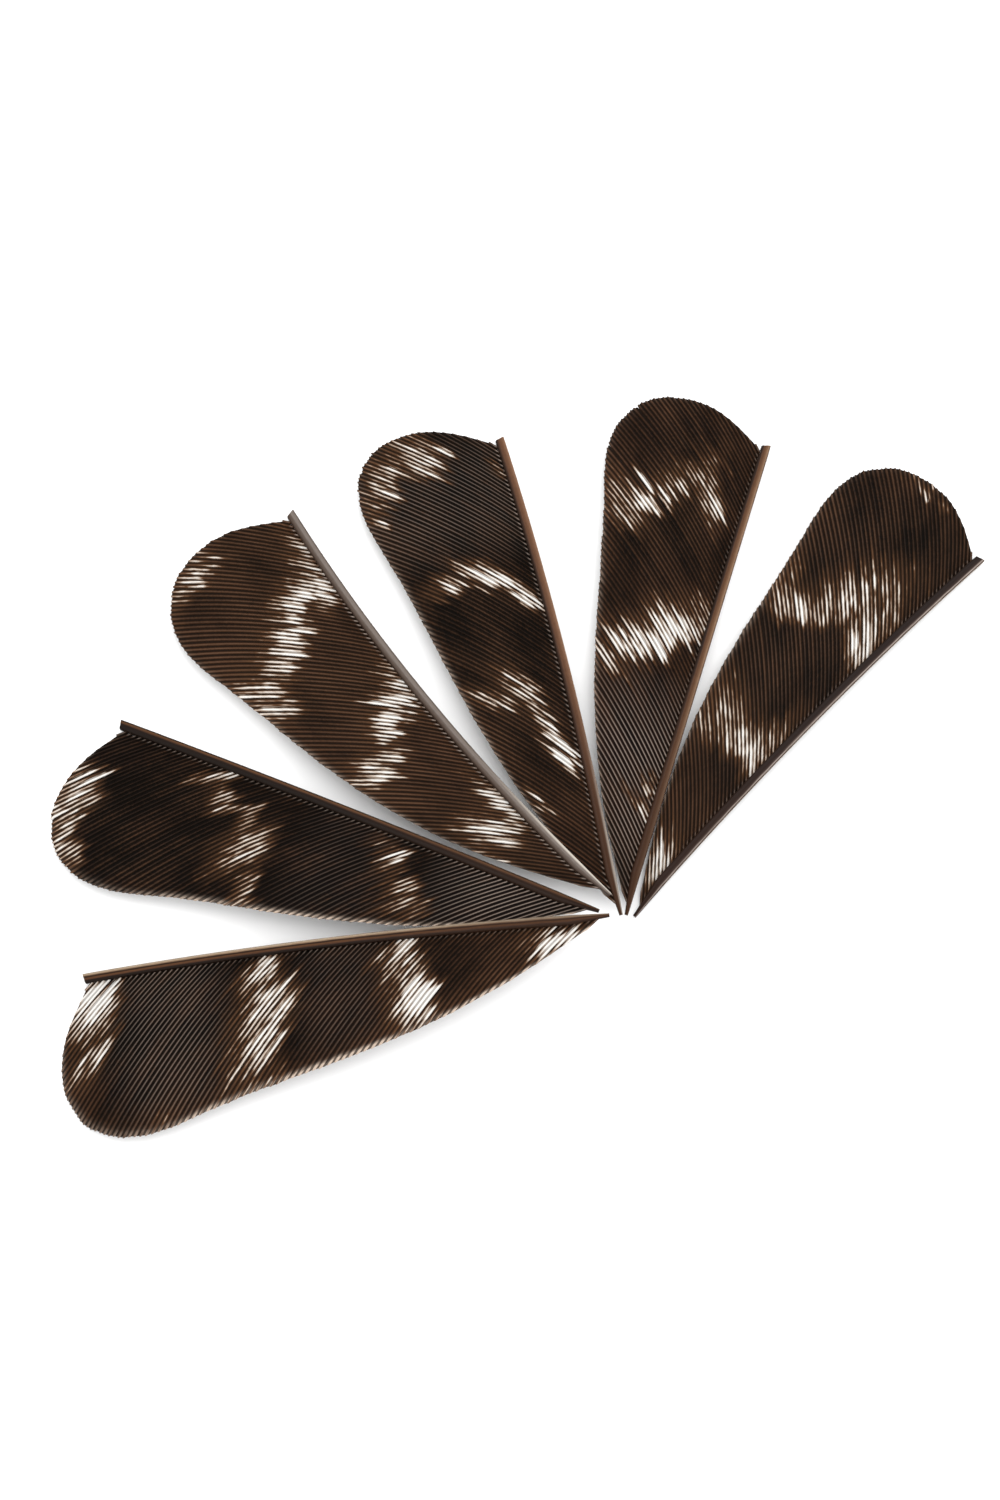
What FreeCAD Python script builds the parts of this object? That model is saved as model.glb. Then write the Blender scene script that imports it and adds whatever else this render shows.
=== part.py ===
import FreeCAD, Part
import math
import os

# Six barred fletching feathers, laid out as a fan on a flat surface.
#
# Each feather is one side of a wing feather, cut to nearly the same outline: a strip of quill, ground
# flat on the face that is glued to a shaft, with the web standing out from its other side. The quill
# strip has a hard outer cortex round a soft pith, and the pith shows on the ground face and at the
# square rear end. The web is a thin sheet of hooked barbules with the barbs lying side by side on it.
# The feathers are loose, so each one is a body of its own that lifts off the pile.
#
# Frame of one feather: x runs along the quill from the nose (0) to the rear end, y from the ground
# face (0) out into the web, and z up from the quill's underside.
# Frame of the set: origin on the surface below the middle of the set's bounding box, +Z up, +X along
# its long side, and the noses together towards -Y.

# Driving dimensions, in mm and degrees
feather_length = 76.2      # nose to rear end of the quill strip, the common 3 inch size
web_height = 24.1          # ground face to the highest point of the web, on a typical feather
rear_overhang = 4.0        # how far the web's tail reaches past the end of the quill

quill_height = 1.4         # ground face to the root of the web
quill_thickness = 1.2
quill_arch = 2.0           # rise of the quill's middle above its two ends
cortex_wall = 0.22
nose_taper = 6.0           # length over which the quill thins down to the nose
nose_height = 0.5
nose_thickness = 0.55
rear_slant = 0.35          # the rear end is cut a little askew

web_level = 0.1            # underside of the web above the quill's underside, at its root
web_camber = 0.9           # rise of the web's outer edge above its root
web_front = 1.6            # where the web begins behind the nose
web_rear = 0.8             # and where it ends in front of the quill's rear end
sheet_thickness = 0.12     # the hooked barbules between the barbs
clearance = 0.02           # between the web and the quill, and between the barbs and their sheet

barb_depth = 0.14
first_barb = 2.6           # where the front barb leaves the quill, behind the nose
barb_pitch = 0.85          # from barb to barb along the quill
barb_width = 0.55          # measured along the quill, as the pitch is
barb_root_angle = 38.0     # between a barb and the quill where it grows out
barb_radius = 100.0        # every barb curves up and away from the quill on this radius

# The pile: each feather lies on the webs of those below it, so the noses climb by this much each
nose_step = 1.15

# The fan, from the top of the pile to the bottom: the place of the nose, the heading of the quill
# from nose to rear, the sideways bend of the quill's middle towards the web, and how high the web
# was cut
fan = [
    {"number": 1, "nose": (15.8, -25.6), "heading": 186.0, "bend": -0.8, "web": 24.1},
    {"number": 2, "nose": (14.4, -24.9), "heading": 157.5, "bend": 0.0, "web": 24.1},
    {"number": 3, "nose": (16.1, -22.4), "heading": 128.5, "bend": 2.6, "web": 25.1},
    {"number": 4, "nose": (17.7, -25.2), "heading": 103.0, "bend": -1.0, "web": 23.9},
    {"number": 5, "nose": (18.5, -25.1), "heading": 72.5, "bend": 0.0, "web": 23.5},
    {"number": 6, "nose": (19.7, -25.2), "heading": 45.5, "bend": 1.0, "web": 23.1},
]

# Worked out from the above
arch_radius = (feather_length ** 2 / 4 + quill_arch ** 2) / (2 * quill_arch)
arch_centre = FreeCAD.Vector(feather_length / 2, 0, quill_arch - arch_radius)
web_root = quill_height + clearance
prism_depth = 20.0         # deeper than anything that the prisms are cut with
margin = 2.0               # how far a cutting shape reaches past what it cuts


def vector(x, y, z=0.0):
    return FreeCAD.Vector(x, y, z)


def bent(x, y, bend):
    """A point of the plan view, carried sideways with the bend of the quill."""
    along = x / feather_length
    return vector(x, y + 4 * bend * along * (1 - along))


def edge_along_quill(x_start, x_end, y, bend):
    """The plan view's edge at distance y from the ground face: straight, or an arc on a bent quill."""
    start = bent(x_start, y, bend)
    end = bent(x_end, y, bend)
    if bend == 0:
        return Part.makeLine(start, end)
    middle = bent((x_start + x_end) / 2, y, bend)
    return Part.Arc(start, middle, end).toShape()


def arch_point(x, height):
    """A point of the side view, at a height above the arched underside."""
    radius = arch_radius + height
    return vector(x, 0, arch_centre.z + math.sqrt(radius ** 2 - (x - arch_centre.x) ** 2))


def arch_arc(x_start, x_end, height):
    middle = (x_start + x_end) / 2
    return Part.Arc(*[arch_point(x, height) for x in (x_start, middle, x_end)]).toShape()


def face_inside(edges):
    return Part.Face(Part.Wire(Part.__sortEdges__(edges)))


def plan_prism(edges):
    """A prism that stands on a closed outline drawn in the plan view."""
    face = face_inside(edges)
    face.translate(vector(0, 0, -prism_depth / 2))
    return face.extrude(vector(0, 0, prism_depth))


def side_prism(edges):
    """A prism across a closed outline drawn in the side view."""
    face = face_inside(edges)
    face.translate(vector(0, -prism_depth / 2, 0))
    return face.extrude(vector(0, prism_depth, 0))


def quill_blank(bend):
    """The whole quill strip, before it is divided into cortex and pith."""
    rear_inner = feather_length - rear_slant
    nose_corner = bent(0, nose_height, bend)
    plan = plan_prism([
        edge_along_quill(0, feather_length, 0, bend),
        Part.makeLine(bent(feather_length, 0, bend), bent(rear_inner, quill_height, bend)),
        edge_along_quill(nose_taper, rear_inner, quill_height, bend),
        Part.makeLine(bent(nose_taper, quill_height, bend), nose_corner),
        Part.makeLine(nose_corner, bent(0, 0, bend)),
    ])
    side = side_prism([
        arch_arc(0, feather_length, 0),
        Part.makeLine(arch_point(feather_length, 0), arch_point(feather_length, quill_thickness)),
        arch_arc(nose_taper, feather_length, quill_thickness),
        Part.makeLine(arch_point(nose_taper, quill_thickness), arch_point(0, nose_thickness)),
        Part.makeLine(arch_point(0, nose_thickness), arch_point(0, 0)),
    ])
    return plan.common(side)


def pith_core(blank, bend):
    """The soft core: open to the ground face and the rear end, and closed in by the cortex elsewhere."""
    behind = feather_length + margin
    inner_height = quill_height - cortex_wall
    plan = plan_prism([
        edge_along_quill(nose_taper, behind, -margin, bend),
        Part.makeLine(bent(behind, -margin, bend), bent(behind, inner_height, bend)),
        edge_along_quill(nose_taper, behind, inner_height, bend),
        Part.makeLine(bent(nose_taper, inner_height, bend), bent(nose_taper, -margin, bend)),
    ])
    top = quill_thickness - cortex_wall
    side = side_prism([
        arch_arc(nose_taper, behind, cortex_wall),
        Part.makeLine(arch_point(behind, cortex_wall), arch_point(behind, top)),
        arch_arc(nose_taper, behind, top),
        Part.makeLine(arch_point(nose_taper, top), arch_point(nose_taper, cortex_wall)),
    ])
    return blank.common(plan.common(side))


def web_outline(bend, height):
    """Plan view of the web: a long leading edge, a full round crown, and the tail curving back in."""
    taper_at_front = (quill_height - nose_height) * web_front / nose_taper
    front_root = nose_height + taper_at_front + clearance
    rear_root = feather_length - web_rear
    points = [
        (web_front, front_root),
        (16.0, 0.375 * height),
        (38.0, 0.70 * height),
        (60.0, 0.925 * height),
        (70.2, height),
        (77.0, 0.88 * height),
        (feather_length + rear_overhang, 0.54 * height),
        (rear_root, web_root),
    ]
    free_edge = Part.BSplineCurve()
    free_edge.interpolate([bent(x, y, bend) for x, y in points])
    return plan_prism([
        free_edge.toShape(),
        edge_along_quill(nose_taper, rear_root, web_root, bend),
        Part.makeLine(bent(nose_taper, web_root, bend), bent(web_front, front_root, bend)),
    ])


def web_layer(outline, bottom, top):
    """A layer of the web, which follows the quill's arch and curls up towards its free edge."""
    outer = web_height + margin
    inner = -margin

    def section_point(y, height):
        curl = web_camber * (y / web_height) ** 2
        return vector(arch_centre.x, y, quill_arch + web_level + height + curl)

    def section_arc(height):
        middle = (inner + outer) / 2
        return Part.Arc(*[section_point(y, height) for y in (inner, middle, outer)]).toShape()

    section = face_inside([
        section_arc(bottom),
        Part.makeLine(section_point(outer, bottom), section_point(outer, top)),
        section_arc(top),
        Part.makeLine(section_point(inner, top), section_point(inner, bottom)),
    ])
    reach = feather_length / 2 + rear_overhang + margin
    half_sweep = math.degrees(math.asin(reach / arch_radius))
    across = vector(0, 1, 0)
    section.rotate(arch_centre, across, -half_sweep)
    return outline.common(section.revolve(arch_centre, across, 2 * half_sweep))


def barb_side(x_root, bend):
    """Three points of the arc along one side of a barb, from the quill to beyond the web's free edge."""
    root_angle = math.radians(barb_root_angle)
    centre = bent(x_root, 0, bend) + barb_radius * vector(-math.sin(root_angle), math.cos(root_angle))
    tip_angle = math.acos(math.cos(root_angle) - (web_height + margin) / barb_radius)
    middle_angle = (root_angle + tip_angle) / 2
    return [centre + barb_radius * vector(math.sin(angle), -math.cos(angle))
            for angle in (root_angle, middle_angle, tip_angle)]


def barbs(layer, bend):
    """The barbs of one web, side by side, each cut out of the layer as a solid of its own."""
    count = int((feather_length - web_rear - first_barb) / barb_pitch)
    solids = []
    for index in range(count):
        front = barb_side(first_barb + index * barb_pitch, bend)
        back = [point + vector(barb_width, 0) for point in front]
        strip = plan_prism([
            Part.Arc(*front).toShape(),
            Part.makeLine(front[-1], back[-1]),
            Part.Arc(*back).toShape(),
            Part.makeLine(back[0], front[0]),
        ])
        solids += layer.common(strip).Solids
    return Part.makeCompound(solids)


def feather_pieces(feather):
    bend = feather["bend"]
    blank = quill_blank(bend)
    pith = pith_core(blank, bend)
    outline = web_outline(bend, feather["web"])
    barb_bottom = sheet_thickness + clearance
    return {
        "quill_cortex": blank.cut(pith),
        "quill_pith": pith,
        "web_sheet": web_layer(outline, 0, sheet_thickness),
        "barbs": barbs(web_layer(outline, barb_bottom, barb_bottom + barb_depth), bend),
    }


def box_round(pieces):
    """The box round some pieces, without the barbs: they lie inside the box of the sheet below them."""
    shapes = [shape for name, shape in pieces.items() if not name.endswith("barbs")]
    return Part.makeCompound(shapes).optimalBoundingBox(False)


def lay_down(pieces, feather, layer):
    """Tilt a feather up at the nose for its layer in the pile, set it on the surface, and turn it."""
    tilt = math.degrees(math.asin(layer * nose_step / feather_length))
    for piece in pieces.values():
        piece.rotate(vector(feather_length, 0), vector(0, 1, 0), tilt)
    lowest = box_round(pieces).ZMin
    x, y = feather["nose"]
    for piece in pieces.values():
        piece.translate(vector(0, 0, -lowest))
        piece.rotate(vector(0, 0), vector(0, 0, 1), feather["heading"])
        piece.translate(vector(x, y))
    return pieces


def build_set():
    nodes = {}
    for feather in fan:
        layer = len(fan) - feather["number"]
        pieces = lay_down(feather_pieces(feather), feather, layer)
        for name, shape in pieces.items():
            nodes["feather_%d_%s" % (feather["number"], name)] = shape
    box = box_round(nodes)
    for shape in nodes.values():
        shape.translate(vector(-box.Center.x, -box.Center.y, -box.ZMin))
    return nodes


os.makedirs("parts", exist_ok=True)
for node, shape in build_set().items():
    shape.exportStep("parts/%s.step" % node)
    state = "valid" if shape.isValid() else "INVALID"
    print(node, "%.3f mm3" % shape.Volume, len(shape.Solids), "solids", state)
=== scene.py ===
import math

import bpy
import numpy as np
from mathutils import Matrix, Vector


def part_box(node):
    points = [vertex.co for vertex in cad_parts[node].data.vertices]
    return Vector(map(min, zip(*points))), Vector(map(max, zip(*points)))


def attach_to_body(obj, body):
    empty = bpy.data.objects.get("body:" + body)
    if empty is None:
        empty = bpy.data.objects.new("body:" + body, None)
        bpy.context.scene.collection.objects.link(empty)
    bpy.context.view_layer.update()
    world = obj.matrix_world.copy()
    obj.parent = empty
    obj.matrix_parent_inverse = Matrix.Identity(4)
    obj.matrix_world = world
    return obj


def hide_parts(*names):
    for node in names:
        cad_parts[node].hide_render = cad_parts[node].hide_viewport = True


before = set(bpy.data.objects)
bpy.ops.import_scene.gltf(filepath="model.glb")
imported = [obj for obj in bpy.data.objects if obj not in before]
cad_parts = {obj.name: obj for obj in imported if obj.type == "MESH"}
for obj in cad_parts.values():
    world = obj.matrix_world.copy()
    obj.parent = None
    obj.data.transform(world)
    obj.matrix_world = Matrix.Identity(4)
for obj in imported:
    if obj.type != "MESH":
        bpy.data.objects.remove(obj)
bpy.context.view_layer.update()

# Six barred fletching feathers laid out as a fan: quill strips with a foamy pith, and webs of
# separate barbs with the finer, hooked barbules between them.
#
# Frame of one feather, in mm: x runs along the quill from the nose to the rear end, y from the ground
# face out into the web, and z up from the quill's arched underside. Frame of the set, in metres: the
# CAD frame. Every feather is placed so that its quill fills the box of its CAD node.

# Dimensions of the CAD model, in mm and degrees
mm = 0.001
feather_length = 76.2
typical_web = 24.1
rear_overhang = 4.0
quill_height = 1.4
quill_thickness = 1.2
quill_arch = 2.0
cortex_wall = 0.22
nose_taper = 6.0
nose_height = 0.5
nose_thickness = 0.55
rear_slant = 0.35
web_level = 0.1
web_camber = 0.9
web_rear = 0.8
first_barb = 2.6
barb_pitch = 0.85
barb_root_angle = 38.0
barb_radius = 100.0
nose_step = 1.15

# Dimensions that the CAD doesn't have, in mm. The webs start a little nearer the nose here. Each barb
# is thicker at its foot, which starts just inside the quill, and its barbules end short of its tip.
web_front = 1.0
extra_front_barbs = 3
shortest_barb = 1.3
barb_tip = 0.5
tip_overhang = 0.25
wave_height = 0.05
wave_length = 3.5
foot_rise = 1.1
foot_reach = 0.55
root_depth = 0.06
barbule_gap = 0.12
channel_at_nose = 0.003

# How finely a barb is divided, how many barbs a split in the web bends aside, and the first feather's
# seed for what differs at random, less one
body_rings = 56
tip_rings = 8
split_spread = 4
random_seed = 40

# Worked out from the above
arch_radius = (feather_length ** 2 / 4 + quill_arch ** 2) / (2 * quill_arch)
rear_root = feather_length - web_rear
front_root = nose_height + (quill_height - nose_height) * web_front / nose_taper
root_angle = math.radians(barb_root_angle)

# White bars, as shares of a bar's size: how far out one is half gone, how slowly it goes, and how much
# more slowly on its outer side and faster on its inner side. Outwards is up the barbs' slope.
bar_reach = 1.4
bar_fade = 1.7
outward_fade = 0.45
barb_slope = math.radians(50)

# How far the markings and the painted tip highlight reach, in mm: the browner front and the painted tip
# highlight along the quill, and the brown rim, the painted tip highlight and the pale stitches along a
# barb
brown_front = 24
tip_highlight_front = 40
rim_width = 5
tip_width = 0.8
stitch_place = 0.35
stitch_width = 0.28

# The lamp's power in watts, the strength of the room's light, and how bright the two make a perfectly
# white surface on the table, where 1 shows as pure white
lamp_power = 4.8
room_light = 1.45
table_brightness = 2.0

# The camera looks down on the fan, a little from the front; in degrees and mm
camera_elevation = 76.0
camera_distance = 326
camera_target = (-3.74, 0.50)
camera_lens = 52.8

# A barb cut across: distance along the quill as a share of the pitch, and height above the web's
# underside. The crest is the horn ridge, painted paler, partly its own colour and partly a painted
# highlight; the long slope behind it carries the barbules.
barb_section = [
    (-0.24, 0.05), (-0.17, 0.15), (-0.07, 0.23), (-0.02, 0.26), (0.04, 0.26),
    (0.10, 0.23), (0.24, 0.17), (0.40, 0.11), (0.44, 0.07), (0.10, 0.02),
]
barb_crest = [0.0, 0.05, 0.55, 1.0, 1.0, 0.55, 0.05, 0.0, 0.0, 0.0]
barb_rear_side = max(along for along, up in barb_section)
barbule_section = [(0.20, 0.10), (0.20, 0.15), (0.62, 0.10), (1.02, 0.10), (1.02, 0.06), (0.62, 0.05)]

# The quill cut across, without the channel for the pith: shares of its height and of its thickness,
# from the ground face round the underside, the web's side and the furrowed top
quill_section = [
    (0.0, 0.03), (0.05, 0.0), (0.86, 0.0), (0.97, 0.06), (1.0, 0.20), (1.0, 0.55),
    (0.97, 0.74), (0.90, 0.87), (0.80, 0.92), (0.70, 0.90), (0.62, 0.88), (0.54, 0.91), (0.42, 0.97),
    (0.28, 1.0), (0.14, 0.98), (0.04, 0.93), (0.0, 0.88),
]

# Colours of horn, barbules and pith, on the usual 0 to 255 scale
web_black = (28, 19, 13)
web_brown = (82, 55, 37)
fringe_brown = (104, 72, 48)
# The three ridge colours paint the barbs' crests lighter: partly their own colour, partly a painted
# highlight
dull_ridge = (64, 49, 41)
bright_ridge = (116, 84, 63)
frost_and_sheen_ridge = (194, 175, 162)
# The pale tip colour is a painted highlight on the barbs' ends
tip_highlight_colour = (238, 214, 194)
bar_foot = (70, 47, 33)
bar_brown = (122, 86, 60)
bar_cream = (214, 191, 170)
bar_white = (282, 278, 272)
quill_fibre = (40, 27, 20)
quill_nose = (66, 41, 26)
quill_nose_pale = (240, 230, 216)
pith_dark = (150, 122, 96)
pith_pale = (214, 196, 172)

# Six feathers. heading is the direction from nose to rear, bend the quill's sideways bow and web the
# height that the web was cut to. tone is how brown, rather than nearly black, the dark web is,
# front_brown how much browner it is near the nose, and rim_brown near the free edge. tip_highlights is
# how strongly the barbs' ends are painted pale, a painted highlight, and stitches how pale they begin,
# at the quill. dark_nose is how much the quill darkens towards its nose, and pale_nose how much of its
# ground side is pale there. frost_and_sheen lists the stretches whose barbs show pale ridges, partly
# their own colour and partly a painted highlight: place along the quill, reach and strength. bars are
# the white markings: place along the quill, place out from it, length, width, turn and strength. quill
# is the colour across the quill, from the ground face to the web, at shares of its height.
feathers = [
    {
        "number": 1, "heading": 186.0, "bend": -0.8, "web": 24.1,
        "tone": 0.18, "front_brown": 0.45, "rim_brown": 0.8, "tip_highlights": 2.8, "stitches": 0.3,
        "dark_nose": 0.5, "pale_nose": 0.0,
        "frost_and_sheen": [(39, 8, 0.2), (64, 11, 0.43)],
        "bars": [
            (8.2, 3.5, 2.5, 1.5, 10, 1.1), (28.6, 10.4, 3.6, 2.6, 100, 1.0),
            (29.6, 6.4, 2.6, 1.8, 40, 0.8), (30.6, 3.0, 2.8, 1.0, 35, 0.8),
            (51.4, 14.2, 4.4, 2.4, 55, 0.8), (49.8, 9.0, 4.2, 2.4, 45, 0.85),
            (50.6, 3.9, 2.8, 1.4, 45, 0.9), (52.0, 19.8, 3.6, 1.0, 20, 0.55),
            (74.8, 5.2, 3.8, 2.3, 62, 1.1), (76.2, 12.8, 3.2, 1.4, 45, 0.8),
            (66.4, 23.0, 1.4, 0.7, 50, 0.5),
        ],
        "quill": [
            (0.0, (120, 92, 68)), (0.08, (210, 190, 165)), (0.26, (168, 136, 106)), (0.34, (60, 38, 26)),
            (0.44, (50, 32, 22)), (0.52, (116, 76, 48)), (0.66, (84, 55, 37)), (0.74, (36, 23, 16)),
            (1.0, (30, 19, 13)),
        ],
    },
    {
        "number": 2, "heading": 157.5, "bend": 0.0, "web": 24.1,
        "tone": 0.04, "front_brown": 0.0, "rim_brown": 0.1, "tip_highlights": 1.2, "stitches": 0.6,
        "dark_nose": 0.3, "pale_nose": 0.0,
        "frost_and_sheen": [(10, 16, 0.87), (36, 10, 0.12)],
        "bars": [
            (25.8, 10.4, 2.8, 1.3, 20, 0.55), (26.8, 7.6, 2.0, 0.8, 35, 0.95),
            (29.6, 4.0, 1.8, 0.7, 40, 1.0), (29.4, 6.4, 4.4, 1.6, 130, 0.4),
            (48.4, 17.4, 3.0, 1.4, 100, 0.5), (50.6, 11.0, 3.6, 2.0, 55, 0.72),
            (54.4, 6.4, 3.4, 1.4, 150, 0.7), (58.6, 2.5, 2.4, 0.7, 25, 0.75),
            (77.4, 18.2, 4.4, 1.9, 125, 0.8), (78.0, 12.2, 3.2, 2.2, 50, 0.9),
            (74.3, 22.4, 2.0, 0.9, 30, 0.6),
        ],
        "quill": [
            (0.0, (40, 27, 20)), (0.12, (60, 40, 28)), (0.20, (116, 77, 46)), (0.34, (88, 58, 38)),
            (0.43, (40, 27, 20)), (0.70, (30, 21, 16)), (1.0, (36, 26, 20)),
        ],
    },
    {
        "number": 3, "heading": 128.5, "bend": 2.6, "web": 25.1,
        "tone": 0.80, "front_brown": 0.0, "rim_brown": 0.0, "tip_highlights": 0.3, "stitches": 2.0,
        "dark_nose": 0.0, "pale_nose": 0.9,
        "frost_and_sheen": [(40, 60, 0.03)],
        "bars": [
            (14.9, 8.8, 1.4, 0.8, 45, 0.8), (17.6, 5.8, 3.4, 1.7, 30, 0.85),
            (20.2, 2.3, 3.6, 1.0, 5, 1.0), (35.2, 13.2, 2.8, 1.6, 70, 0.95),
            (35.8, 9.8, 3.0, 1.9, 120, 0.75), (39.6, 7.0, 4.4, 1.7, 145, 0.9),
            (42.8, 2.9, 3.8, 1.5, 165, 0.85), (54.0, 19.4, 4.4, 2.3, 30, 0.7),
            (58.7, 12.6, 4.4, 2.3, 120, 0.9), (63.8, 7.6, 3.6, 2.0, 135, 0.85),
            (66.5, 2.8, 5.2, 1.5, 175, 0.85), (77.4, 18.6, 4.0, 1.8, 120, 0.75),
        ],
        "quill": [
            (0.0, (88, 72, 62)), (0.20, (140, 127, 118)), (0.45, (150, 138, 130)), (0.60, (112, 98, 88)),
            (0.80, (96, 80, 70)), (1.0, (70, 54, 44)),
        ],
    },
    {
        "number": 4, "heading": 103.0, "bend": -1.0, "web": 23.9,
        "tone": 0.20, "front_brown": 0.45, "rim_brown": 0.2, "tip_highlights": 0.4, "stitches": 1.1,
        "dark_nose": 0.8, "pale_nose": 0.4,
        "frost_and_sheen": [(68, 13, 0.33)],
        "bars": [
            (19.0, 9.0, 1.5, 0.6, 25, 0.85), (24.6, 3.2, 3.0, 0.9, 22, 1.0),
            (29.4, 5.0, 2.8, 0.8, 22, 1.0), (35.3, 12.4, 3.6, 0.9, 65, 0.7),
            (36.3, 7.9, 2.8, 1.2, 40, 1.0), (54.2, 13.6, 3.0, 1.2, 95, 0.85),
            (54.6, 8.4, 2.8, 1.2, 50, 1.05), (50.6, 4.3, 2.8, 0.7, 30, 0.95),
            (66.8, 22.9, 1.4, 0.6, 50, 0.95), (73.5, 19.2, 4.8, 2.1, 135, 0.7),
            (76.0, 14.0, 3.6, 2.6, 45, 0.85), (76.5, 9.6, 1.8, 0.5, 50, 0.8),
            (71.0, 2.4, 1.6, 0.6, 25, 0.5),
        ],
        "quill": [
            (0.0, (176, 140, 114)), (0.15, (146, 106, 80)), (0.40, (124, 86, 62)), (0.60, (112, 76, 54)),
            (0.75, (84, 56, 40)), (0.85, (56, 38, 28)), (1.0, (50, 36, 28)),
        ],
    },
    {
        "number": 5, "heading": 72.5, "bend": 0.0, "web": 23.5,
        "tone": 0.36, "front_brown": 0.0, "rim_brown": 0.3, "tip_highlights": 0.3, "stitches": 0.4,
        "dark_nose": 0.8, "pale_nose": 0.0,
        "frost_and_sheen": [(18, 19, 0.9)],
        "bars": [
            (16.7, 4.0, 1.8, 0.8, 45, 0.85), (18.4, 2.0, 1.6, 0.6, 20, 0.75),
            (37.0, 14.4, 3.4, 2.0, 60, 0.65), (39.6, 11.4, 3.8, 2.0, 120, 0.9),
            (42.4, 7.0, 4.6, 2.6, 140, 1.0), (43.6, 3.0, 2.8, 1.1, 160, 0.85),
            (60.5, 19.6, 4.0, 2.1, 50, 0.7), (62.6, 15.4, 3.4, 1.8, 130, 0.9),
            (67.0, 11.0, 5.0, 1.8, 145, 0.7), (65.6, 6.8, 4.6, 1.2, 25, 0.85),
        ],
        "quill": [
            (0.0, (90, 62, 44)), (0.06, (96, 66, 46)), (0.12, (170, 136, 108)), (0.28, (136, 100, 74)),
            (0.50, (112, 76, 52)), (0.68, (96, 64, 44)), (0.76, (50, 34, 25)), (1.0, (46, 32, 24)),
        ],
    },
    {
        "number": 6, "heading": 45.5, "bend": 1.0, "web": 23.1,
        "tone": 0.30, "front_brown": 0.35, "rim_brown": 0.3, "tip_highlights": 0.3, "stitches": 0.4,
        "dark_nose": 0.3, "pale_nose": 0.0,
        "frost_and_sheen": [(40, 45, 0.05)],
        "bars": [
            (8.6, 2.7, 3.0, 1.4, 25, 0.9), (30.6, 11.6, 3.8, 2.7, 60, 0.72),
            (29.6, 6.0, 4.4, 2.3, 100, 0.8), (31.4, 2.6, 4.4, 1.0, 5, 0.7),
            (52.5, 18.5, 4.4, 1.6, 25, 0.55), (51.2, 13.5, 3.4, 2.0, 120, 0.85),
            (58.0, 10.0, 6.2, 2.5, 150, 0.72), (54.0, 3.9, 3.8, 1.7, 35, 0.95),
            (59.8, 3.9, 3.8, 1.5, 25, 0.55), (79.2, 14.0, 3.0, 0.8, 100, 0.6),
        ],
        "quill": [
            (0.0, (62, 47, 42)), (0.08, (96, 78, 70)), (0.13, (206, 192, 182)), (0.20, (150, 132, 122)),
            (0.28, (62, 47, 42)), (0.50, (44, 32, 28)), (0.80, (38, 27, 23)), (1.0, (44, 32, 26)),
        ],
    },
]


def on_arch(x, height):
    """Height in the feather's frame of a point that lies some way above the arched underside."""
    return quill_arch - arch_radius + np.sqrt((arch_radius + height) ** 2 - (x - feather_length / 2) ** 2)


def bow(x, feather):
    """How far the quill's sideways bend carries a point towards the web."""
    along = x / feather_length
    return 4 * feather["bend"] * along * (1 - along)


def to_set(x, y, height, feather):
    """Points of one straight feather, bent, tilted, turned and put in place, in metres."""
    tilt = math.asin((len(feathers) - feather["number"]) * nose_step / feather_length)
    heading = math.radians(feather["heading"])
    out = y + bow(x, feather)
    up = on_arch(x, height)
    from_rear = x - feather_length
    along = from_rear * math.cos(tilt) + up * math.sin(tilt) + feather_length
    up = up * math.cos(tilt) - from_rear * math.sin(tilt)
    right = along * math.cos(heading) - out * math.sin(heading)
    away = along * math.sin(heading) + out * math.cos(heading)
    return np.stack([right, away, up], axis=-1) * mm + feather["place"]


def web_surface(x, y, height, feather):
    """Like to_set, for a height above the underside of the web, which curls up towards its edge."""
    curl = web_camber * ((y + bow(x, feather)) / typical_web) ** 2
    return to_set(x, y, web_level + curl + height, feather)


def quill_side(x):
    """Distance from the ground face to the web's side of the quill."""
    return np.interp(x, [0, nose_taper], [nose_height, quill_height])


def quill_top(x):
    """Thickness of the quill, from its underside to its top."""
    return np.interp(x, [0, nose_taper], [nose_thickness, quill_thickness])


def find_place(feather):
    """The shift that puts the edges of a feather's quill into the box of its CAD node."""
    feather["place"] = np.zeros(3)
    x = np.linspace(0, feather_length, 400)
    x_outer = x * (1 - rear_slant / feather_length)
    edges = []
    for height in (0 * x, quill_top(x)):
        edges.append(to_set(x, 0 * x, height, feather))
        edges.append(to_set(x_outer, quill_side(x_outer), height, feather))
    edges = np.concatenate(edges)
    low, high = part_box("feather_%d_quill_cortex" % feather["number"])
    return (np.array(low) + np.array(high) - edges.min(axis=0) - edges.max(axis=0)) / 2


def smooth_curve(points, count):
    """Points along the natural cubic spline through a few given points."""
    points = np.array(points)
    knots = np.append(0, np.cumsum(np.linalg.norm(np.diff(points, axis=0), axis=1)))
    gaps = np.diff(knots)
    slopes = np.diff(points, axis=0) / gaps[:, None]
    system = np.eye(len(points))
    target = np.zeros_like(points)
    for i in range(1, len(points) - 1):
        system[i, i - 1:i + 2] = gaps[i - 1], 2 * (gaps[i - 1] + gaps[i]), gaps[i]
        target[i] = 6 * (slopes[i] - slopes[i - 1])
    curve = np.linalg.solve(system, target)
    at = np.linspace(0, knots[-1], count)
    piece = np.clip(np.searchsorted(knots, at) - 1, 0, len(gaps) - 1)
    gap = gaps[piece][:, None]
    before = (at - knots[piece])[:, None]
    after = gap - before
    bend = (curve[piece] * after ** 3 + curve[piece + 1] * before ** 3) / (6 * gap)
    start = (points[piece] / gap - curve[piece] * gap / 6) * after
    return bend + start + (points[piece + 1] / gap - curve[piece + 1] * gap / 6) * before


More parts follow.
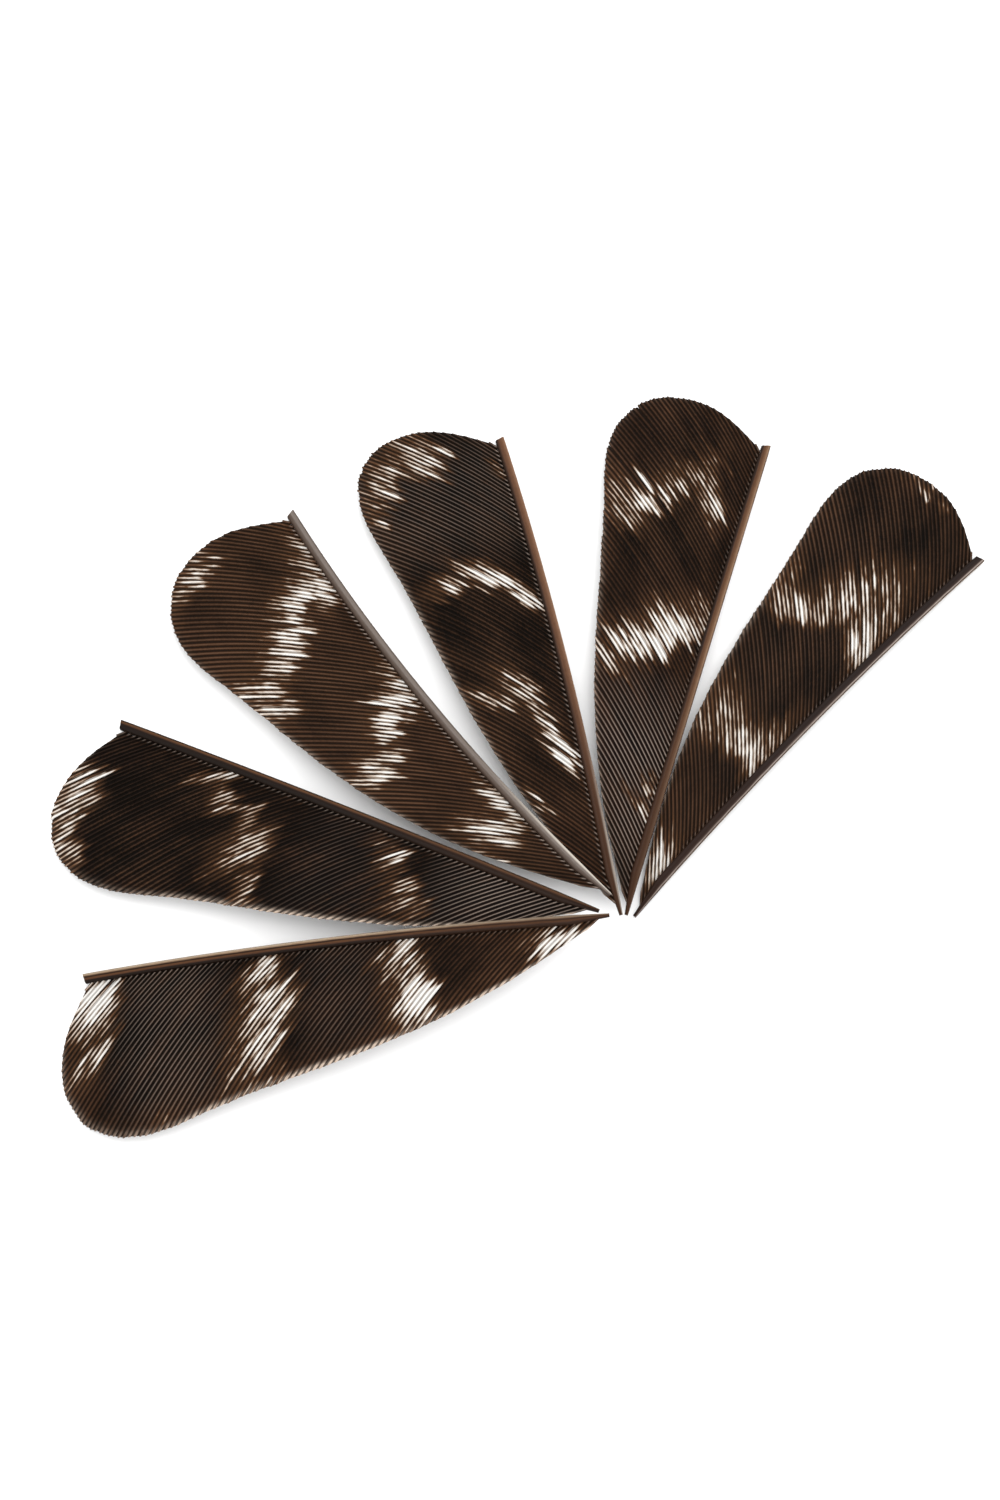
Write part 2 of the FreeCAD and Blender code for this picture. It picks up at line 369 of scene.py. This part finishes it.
def free_edge(height):
    """The web's free edge, from the nose over the crown to the tail."""
    return smooth_curve([
        (web_front, front_root),
        (16.0, 0.375 * height),
        (38.0, 0.70 * height),
        (60.0, 0.925 * height),
        (70.2, height),
        (77.0, 0.88 * height),
        (feather_length + rear_overhang, 0.54 * height),
        (rear_root, quill_height),
    ], 160)


def inside_web(x, y, height):
    """True for the points that lie within the free edge of a web of this height."""
    corners = free_edge(height)
    inside = np.zeros(x.shape, bool)
    for (x1, y1), (x2, y2) in zip(corners, np.roll(corners, -1, axis=0)):
        if y1 == y2:
            continue
        crosses = (y1 > y) != (y2 > y)
        inside ^= crosses & (x < x1 + (y - y1) / (y2 - y1) * (x2 - x1))
    return inside


def barb_point(root, distance):
    """A point of a barb's curved line, at a distance from where it leaves the ground face."""
    angle = root_angle + distance / barb_radius
    x = root + barb_radius * (np.sin(angle) - math.sin(root_angle))
    return x, barb_radius * (math.cos(root_angle) - np.cos(angle))


def barb_ends(root, height):
    """Where each barb leaves the quill's side and where it meets the free edge."""
    longest = 40
    distance = np.linspace(0, longest, 20 * longest)
    x, y = barb_point(root[:, None], distance)
    web = (y > quill_side(x) - root_depth) & inside_web(x, y, height)
    start = web.argmax(axis=1)
    length = (np.cumsum(~web, axis=1) == start[:, None]).sum(axis=1)
    return distance[start], distance[start + np.maximum(length, 1) - 1]


def tube_faces(count, stations, corners):
    """The faces of closed tubes whose points are numbered tube by tube and ring by ring."""
    index = np.arange(count * stations * corners).reshape(count, stations, corners)
    here = index[:, :-1]
    ahead = index[:, 1:]
    sides = np.stack([here, ahead, np.roll(ahead, -1, axis=2), np.roll(here, -1, axis=2)], axis=-1)
    caps = np.concatenate([index[:, 0], index[:, -1, ::-1]])
    return sides.reshape(-1, 4).tolist() + caps.tolist()


def add_piece(name, points, traits, material, smooth_angle=60):
    """A mesh of closed tubes from points[tube, ring, corner], with values of its own at each point."""
    mesh = bpy.data.meshes.new(name)
    mesh.from_pydata(points.reshape(-1, 3), [], tube_faces(*points.shape[:3]))
    for trait, values in traits.items():
        values = np.broadcast_to(values, points.shape[:3]).astype(np.float32)
        mesh.attributes.new(trait, "FLOAT", "POINT").data.foreach_set("value", values.ravel())
    mesh.shade_smooth()
    mesh.set_sharp_from_angle(angle=math.radians(smooth_angle))
    mesh.materials.append(material)
    piece = bpy.data.objects.new(name, mesh)
    bpy.context.scene.collection.objects.link(piece)
    return piece


def attach(piece, feather, part):
    """The piece stands for one CAD node of a feather and rides with it."""
    number = feather["number"]
    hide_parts("feather_%d_%s" % (number, part))
    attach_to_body(piece, "feather_%d" % number)


def whiteness(x, y, feather):
    """How white the web is: 1 well inside a bar, and 0 outside all of them.

    A bar ends sharply towards the quill, and fades more slowly towards the free edge.
    """
    white = np.zeros(np.broadcast(x, y).shape)
    for bar_x, bar_y, length, width, turn, strength in feather["bars"]:
        turn = math.radians(turn)
        along = (x - bar_x) * math.cos(turn) + (y - bar_y) * math.sin(turn)
        across = (y - bar_y) * math.cos(turn) - (x - bar_x) * math.sin(turn)
        distance = np.hypot(along / length, across / width)
        outward = (x - bar_x) * math.cos(barb_slope) + (y - bar_y) * math.sin(barb_slope)
        fade = bar_fade * (1 + outward_fade * np.tanh(outward))
        white = np.maximum(white, strength * np.clip((bar_reach - distance) / fade + 0.5, 0, 1))
    return white


def frost_and_sheen_at(x, feather):
    """How pale the ridges of the barbs are painted, partly their own colour and partly a painted
    highlight: fully within a third of a stretch's reach, then fading.
    """
    frost_and_sheen = np.zeros(x.shape)
    for place, reach, strength in feather["frost_and_sheen"]:
        frost_and_sheen = np.maximum(frost_and_sheen, strength * np.clip(1.5 - 1.5 * np.abs(x - place) / reach, 0, 1))
    return frost_and_sheen


def draw_barbs(feather):
    """Where the barbs of one web run, and how each differs a little from the next.

    shade and vigour are shares, the splits are after whole barbs, and the rest is in mm.
    """
    random = np.random.default_rng(random_seed + feather["number"])
    root = np.arange(first_barb - extra_front_barbs * barb_pitch, rear_root, barb_pitch)
    start, end = barb_ends(root, feather["web"])
    kept = end - start > shortest_barb
    root, start, end = root[kept], start[kept], end[kept]
    count = len(root)
    overhang = tip_overhang + random.normal(0, 0.07, count)
    return {
        "root": root,
        "start": start,
        "end": end + overhang * np.clip((end - start) / 6, 0, 1),
        "drift": random.normal(0, 0.9, count),
        "shade": random.uniform(-0.5, 0.5, count),
        "vigour": random.uniform(0.6, 1.15, count),
        "lift": random.normal(0, 0.012, count),
        "wander": np.cumsum(random.normal(0, 0.5, count)),
        "split_at": random.choice(np.arange(12, count - 12), 3, replace=False),
        "split_gap": random.uniform(0.05, 0.18, 3),
    }


def ring_places(length):
    """Distances along barbs of these lengths, and how full a barb is there, down to its round tip."""
    body = np.linspace(0, 1, body_rings) ** 1.25
    rounding = np.linspace(0, 1, tip_rings)[1:] * math.pi / 2
    before_tip = length - barb_tip
    run = np.concatenate([body * before_tip, before_tip + barb_tip * np.sin(rounding)], axis=1)
    fullness = np.concatenate([np.ones(len(body)), np.cos(rounding) ** 0.8 * 0.95 + 0.05])
    return run, np.broadcast_to(fullness, run.shape)


def sway_of(barbs, run, reach):
    """How far each barb strays along the quill: slow waves, and small splits that open outwards."""
    sway = wave_height * np.sin(run / wave_length + barbs["wander"][:, None])
    number = np.arange(len(run))[:, None]
    for place, gap in zip(barbs["split_at"], barbs["split_gap"]):
        behind = np.exp((place - number) / split_spread)
        ahead = -0.6 * np.exp((number - place + 1) / split_spread)
        sway = sway + gap * np.where(number >= place, behind, ahead) * reach ** 3
    return sway


def ring_points(section, barbs, share, fullness, foot, sway):
    """The corners of every ring; each follows its own line from the quill to the free edge.

    No line lies past the last barb's rear side.
    """
    section = np.array(section)
    centre, middle = section.mean(axis=0)
    offset = (centre + (section[:, 0] - centre) * fullness[..., None]) * barb_pitch
    root = barbs["root"]
    line = np.minimum(root[:, None, None] + offset, root[-1] + barb_rear_side * barb_pitch)
    first = np.interp(line, root, barbs["start"])
    last = np.interp(line, root, barbs["end"])
    x, y = barb_point(line, first + share[..., None] * (last - first))
    height = middle + (section[:, 1] - middle) * fullness[..., None]
    return x + sway[..., None], y, height * (1 + foot[..., None]) + barbs["lift"][:, None, None]


def web_pieces(feather, barb_material, barbule_material):
    """The barbs of one web, and the barbules that fill the gaps between them."""
    barbs = draw_barbs(feather)
    root = barbs["root"][:, None]
    length = (barbs["end"] - barbs["start"])[:, None]
    run, fullness = ring_places(length)
    reach = run / length
    sway = sway_of(barbs, run, reach)
    foot = foot_rise * np.exp(-run / foot_reach)
    stitch = feather["stitches"] * np.exp(-((run - stitch_place) / stitch_width) ** 2)
    slip = 0.7 * barbs["drift"][:, None, None]

    # The painted highlight on the barbs' tips fades over the crown, and the dark web is browner at the
    # front and at the rim
    front = np.exp(-((root / brown_front) ** 2))
    tip_highlight_level = feather["tip_highlights"] * (0.12 + np.exp(-((root / tip_highlight_front) ** 6)))
    rim = feather["rim_brown"] * np.exp(-((length - run) / rim_width) ** 2)
    tone = feather["tone"] + 0.35 * barbs["shade"][:, None] + feather["front_brown"] * front + 0.6 * rim
    edge = tip_highlight_level * np.exp(-((length - run) / tip_width) ** 2)

    def traits_at(x, y):
        """What both materials read; the bars' edges slip a little from barb to barb."""
        return {
            "shade": tone[..., None],
            "along": run[..., None],
            "lane": np.arange(len(run))[:, None, None] * 1.0,
            "edge": edge[..., None],
            "white": barbs["vigour"][:, None, None] * whiteness(x + slip, y + slip, feather),
            "frost_and_sheen": frost_and_sheen_at(x, feather) * (1 - rim[..., None]),
        }

    x, y, height = ring_points(barb_section, barbs, reach, fullness, foot, sway)
    traits = traits_at(x, y)
    traits["frost_and_sheen"] = traits["frost_and_sheen"] + stitch[..., None]
    traits["crest"] = np.array(barb_crest)
    traits["across"] = np.arange(len(barb_section)) / len(barb_section)
    name = "feather_%d_barbs_visual" % feather["number"]
    piece = add_piece(name, web_surface(x, y, height, feather), traits, barb_material)
    attach(piece, feather, "barbs")

    short_of_tip = reach * (1 - barbule_gap / length)
    x, y, height = ring_points(barbule_section, barbs, short_of_tip, fullness, 0 * foot, sway)
    traits = traits_at(x, y)
    traits["crest"] = 0.0
    traits["across"] = np.array(barbule_section)[:, 0]
    name = "feather_%d_barbules_visual" % feather["number"]
    piece = add_piece(name, web_surface(x, y, height, feather), traits, barbule_material)
    attach(piece, feather, "web_sheet")


def quill_piece(feather, material):
    """The hard cortex: rounded shoulders, a shallow furrow on top, and the channel for the pith."""
    channel_top = 1 - cortex_wall / quill_thickness
    channel_bottom = cortex_wall / quill_thickness
    outside = [(0.0, channel_bottom)] + quill_section + [(0.0, channel_top)]
    x = np.concatenate([
        np.linspace(0, nose_taper, 10),
        np.linspace(nose_taper + 0.01, feather_length, 110),
    ])[:, None]
    share_out = np.array([point[0] for point in outside] + [0.0, 0.0])
    share_up = np.array([point[1] for point in outside] + [channel_top, channel_bottom])
    y = share_out * quill_side(x)
    y[:, -2:] = np.where(x > nose_taper, quill_height - cortex_wall, channel_at_nose)
    height = share_up * quill_top(x)
    x = x * (1 - rear_slant * y / (quill_height * feather_length))
    traits = {
        "band": (y / quill_side(x))[None],
        "along": (x + 0 * y)[None],
    }
    name = "feather_%d_quill_visual" % feather["number"]
    quill = add_piece(name, to_set(x, y, height, feather)[None], traits, material, 40)
    attach(quill, feather, "quill_cortex")


def linear(colour, share=1.0):
    """A share of a colour, as it should look under the bright lamps, made linear."""
    parts = [value * share / 255 for value in colour]
    seen = [part / 12.92 if part < 0.04045 else ((part + 0.055) / 1.055) ** 2.4 for part in parts]
    return tuple(value / table_brightness for value in seen) + (1.0,)


class Nodes:
    """Short ways to add the nodes of one material and to link them."""

    def __init__(self, name):
        self.material = bpy.data.materials.new(name)
        self.material.use_nodes = True
        self.tree = self.material.node_tree
        self.shader = self.tree.nodes["Principled BSDF"]

    def link(self, value, socket):
        if isinstance(value, bpy.types.NodeSocket):
            self.tree.links.new(value, socket)
        else:
            socket.default_value = value

    def trait(self, name):
        node = self.tree.nodes.new("ShaderNodeAttribute")
        node.attribute_name = name
        return node.outputs["Fac"]

    def math(self, operation, a, b=0.0, c=0.0, clamp=False):
        node = self.tree.nodes.new("ShaderNodeMath")
        node.operation = operation
        node.use_clamp = clamp
        for value, socket in zip((a, b, c), node.inputs):
            self.link(value, socket)
        return node.outputs[0]

    def vector(self, x, y, z):
        node = self.tree.nodes.new("ShaderNodeCombineXYZ")
        for value, socket in zip((x, y, z), node.inputs):
            self.link(value, socket)
        return node.outputs[0]

    def scaled(self, parts, scales):
        """A place whose parts are each multiplied by a scale of their own."""
        return self.vector(*[self.math("MULTIPLY", part, scale) for part, scale in zip(parts, scales)])

    def swing(self, noise, amount):
        """Noise from 0 to 1 made to swing about 0 by this amount in all."""
        return self.math("MULTIPLY_ADD", noise, amount, -amount / 2)

    def noise(self, where, scale, detail):
        node = self.tree.nodes.new("ShaderNodeTexNoise")
        self.link(where, node.inputs["Vector"])
        node.inputs["Scale"].default_value = scale
        node.inputs["Detail"].default_value = detail
        return node.outputs["Fac"]

    def span(self, value, low, high, to_low=0.0, to_high=1.0):
        """The value's place between low and high, eased in and out."""
        node = self.tree.nodes.new("ShaderNodeMapRange")
        node.interpolation_type = "SMOOTHSTEP"
        for value, socket in zip((value, low, high, to_low, to_high), node.inputs):
            self.link(value, socket)
        return node.outputs[0]

    def mix(self, share, a, b):
        node = self.tree.nodes.new("ShaderNodeMix")
        node.data_type = "RGBA"
        self.link(share, node.inputs["Factor"])
        self.link(a, node.inputs["A"])
        self.link(b, node.inputs["B"])
        return node.outputs["Result"]

    def ramp(self, value, stops):
        """Stops are a place and a colour, and may have the share of the colour too."""
        node = self.tree.nodes.new("ShaderNodeValToRGB")
        self.link(value, node.inputs["Fac"])
        elements = node.color_ramp.elements
        elements.remove(elements[1])
        elements[0].position = stops[0][0]
        elements[0].color = linear(*stops[0][1:])
        for place, *tint in stops[1:]:
            elements.new(place).color = linear(*tint)
        return node.outputs["Color"]

    def bump(self, height, distance):
        node = self.tree.nodes.new("ShaderNodeBump")
        self.link(height, node.inputs["Height"])
        node.inputs["Distance"].default_value = distance
        node.inputs["Strength"].default_value = 1.0
        self.link(node.outputs["Normal"], self.shader.inputs["Normal"])


def web_material(name, painted_shade_share, whiter, roughness):
    """Barred web: nearly black to warm brown, with white bars whose ends run out along the barbs.

    The barbules, which lie lower between the barbs, are drawn with a painted shade: the share given
    after the name darkens all their colours, and the bars' pale colours by half as much. whiter says
    how far the white of the bars spreads on them. Streaks and grain run along each barb, clouds lie
    over many barbs, and barbules is the fine speckle of the hooked threads.
    """
    n = Nodes(name)
    crest = n.trait("crest")
    place = [n.trait("along"), n.trait("lane"), n.trait("across")]
    streak = n.noise(n.scaled(place, (0.45, 2.3, 1.0)), 1.0, 3.0)
    grain = n.noise(n.scaled(place, (2.5, 5.1, 1.0)), 1.0, 3.0)
    clouds = n.noise(n.scaled(place, (0.12, 0.09, 0.0)), 1.0, 2.0)
    barbules = n.noise(n.scaled(place, (3.2, 7.7, 2.5)), 1.0, 2.0)

    shade = n.math("ADD", n.trait("shade"), n.swing(grain, 0.5))
    shade = n.math("ADD", shade, n.swing(barbules, 0.9))
    shade = n.math("ADD", shade, n.swing(clouds, 1.2), clamp=True)
    # Every colour here is scaled by the painted-shade share, a painted shade that darkens the lower
    # barbules
    dark = n.mix(shade, linear(web_black, painted_shade_share), linear(web_brown, painted_shade_share))
    halo = n.span(n.trait("white"), 0.0, 0.55, 0.0, 0.8)
    dark = n.mix(halo, dark, linear(fringe_brown, painted_shade_share))
    # Painted highlight and colour: the crest of every barb is painted a lighter brown, and paler still
    # along the stretches of pale ridges
    crispness = n.math("MULTIPLY", crest, n.span(clouds, 0.3, 0.7, 0.15, 0.75))
    dark = n.mix(crispness, dark, n.mix(shade, linear(dull_ridge), linear(bright_ridge)))
    ridge = n.math("MULTIPLY", crest, n.math("MULTIPLY", n.trait("frost_and_sheen"), 0.8), clamp=True)
    dark = n.mix(ridge, dark, linear(frost_and_sheen_ridge))
    # Painted highlight: the barbs' ends are painted pale where they catch the light
    tip_highlights = n.math("MULTIPLY", n.trait("edge"), n.span(streak, 0.3, 0.6, 0.2, 1.0))
    dark = n.mix(tip_highlights, dark, linear(tip_highlight_colour, painted_shade_share))

    white = n.math("ADD", n.trait("white"), n.swing(streak, 1.0))
    # Painted highlight and colour: on the bars too the crest is painted whiter
    white = n.math("ADD", white, n.math("MULTIPLY_ADD", crest, 0.2, whiter))
    # The bars' pale colours get half of that painted shade
    bar_painted_shade_share = (1 + painted_shade_share) / 2
    pale = n.ramp(n.span(white, 0.15, 0.95), [
        (0.0, bar_foot, painted_shade_share),
        (0.35, bar_brown, painted_shade_share),
        (0.62, bar_cream, bar_painted_shade_share),
        (1.0, bar_white, bar_painted_shade_share),
    ])
    n.link(n.mix(n.span(white, 0.12, 0.5), dark, pale), n.shader.inputs["Base Color"])
    n.link(n.span(grain, 0.3, 0.7, roughness - 0.08, roughness + 0.1), n.shader.inputs["Roughness"])
    n.shader.inputs["Specular IOR Level"].default_value = 0.03
    n.bump(barbules, 0.00006)
    return n.material


def quill_material(feather):
    """Horn in bands along the quill, their colours set band by band from the ground face to the web."""
    n = Nodes("quill_horn_%d" % feather["number"])
    along = n.trait("along")
    band = n.trait("band")
    seed = feather["number"] * 3.0
    fibres = n.noise(n.scaled((along, band, seed), (0.35, 9.0, 1.0)), 1.0, 4.0)
    fine = n.noise(n.scaled((along, band, 0.0), (1.5, 30.0, 1.0)), 1.0, 3.0)
    colour = n.ramp(n.math("ADD", band, n.swing(fibres, 0.16)), feather["quill"])
    colour = n.mix(n.span(fine, 0.35, 0.75, 0.0, 0.35), colour, linear(quill_fibre))
    darkness = n.span(along, 8.0, 46.0, feather["dark_nose"], 0.0)
    colour = n.mix(darkness, colour, linear(quill_nose))
    near_nose = n.span(along, 6.0, 30.0, feather["pale_nose"], 0.0)
    near_ground = n.span(band, 0.1, 0.34, 1.0, 0.0)
    colour = n.mix(n.math("MULTIPLY", near_nose, near_ground), colour, linear(quill_nose_pale))
    n.link(colour, n.shader.inputs["Base Color"])
    n.link(n.span(fibres, 0.3, 0.7, 0.30, 0.45), n.shader.inputs["Roughness"])
    n.shader.inputs["Specular IOR Level"].default_value = 0.07
    n.bump(fine, 0.00003)
    return n.material


def pith_material():
    """Soft, cellular foam, pale brown."""
    n = Nodes("quill_pith_foam")
    place = n.tree.nodes.new("ShaderNodeTexCoord").outputs["Object"]
    cells = n.noise(place, 6000.0, 3.0)
    colour = n.ramp(cells, [(0.3, pith_dark), (0.7, pith_pale)])
    n.link(colour, n.shader.inputs["Base Color"])
    n.link(n.span(cells, 0.3, 0.7, 0.75, 0.95), n.shader.inputs["Roughness"])
    n.bump(cells, 0.00006)
    return n.material


def floor_and_light():
    """A plain white table, a bright room, and one large soft lamp from the upper right."""
    bpy.ops.mesh.primitive_plane_add(size=4.0, location=(0, 0, -0.1 * mm))
    floor = bpy.context.object
    floor.name = "floor"
    n = Nodes("floor_white")
    n.shader.inputs["Base Color"].default_value = (0.9, 0.9, 0.9, 1.0)
    n.shader.inputs["Roughness"].default_value = 0.9
    n.shader.inputs["Specular IOR Level"].default_value = 0.1
    floor.data.materials.append(n.material)

    lamp_data = bpy.data.lights.new("softbox", "AREA")
    lamp_data.size = 0.8
    lamp_data.energy = lamp_power
    lamp = bpy.data.objects.new("softbox", lamp_data)
    lamp.location = (0.15, 0.2, 0.8)
    lamp.rotation_euler = (-lamp.location).to_track_quat("-Z", "Y").to_euler()
    bpy.context.scene.collection.objects.link(lamp)

    world = bpy.data.worlds.new("room")
    world.use_nodes = True
    world.node_tree.nodes["Background"].inputs["Color"].default_value = (1.0, 1.0, 1.0, 1.0)
    world.node_tree.nodes["Background"].inputs["Strength"].default_value = room_light
    bpy.context.scene.world = world
    bpy.context.scene.view_settings.view_transform = "Standard"


def add_camera():
    """A camera that looks down on the fan, a little from the front."""
    elevation = math.radians(camera_elevation)
    target = Vector((camera_target[0] * mm, camera_target[1] * mm, 0))
    distance = camera_distance * mm
    data = bpy.data.cameras.new("camera")
    data.sensor_width = 36.0
    data.lens = camera_lens
    data.clip_start = 0.01
    camera = bpy.data.objects.new("camera", data)
    camera.location = target + distance * Vector((0, -math.cos(elevation), math.sin(elevation)))
    camera.rotation_euler = (math.pi / 2 - elevation, 0, 0)
    bpy.context.scene.collection.objects.link(camera)
    bpy.context.scene.camera = camera


barb_horn = web_material("barb_horn", 1.0, -0.1, 0.45)
# The barbules take the barbs' colours under a painted shade, 0.46 as bright, as they lie lower between
# the barbs
barbule_web = web_material("barbule_web", 0.46, -0.3, 0.6)
pith_foam = pith_material()
for feather in feathers:
    feather["place"] = find_place(feather)
    quill_piece(feather, quill_material(feather))
    web_pieces(feather, barb_horn, barbule_web)
    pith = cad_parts["feather_%d_quill_pith" % feather["number"]]
    pith.data.materials.clear()
    pith.data.materials.append(pith_foam)

floor_and_light()
add_camera()
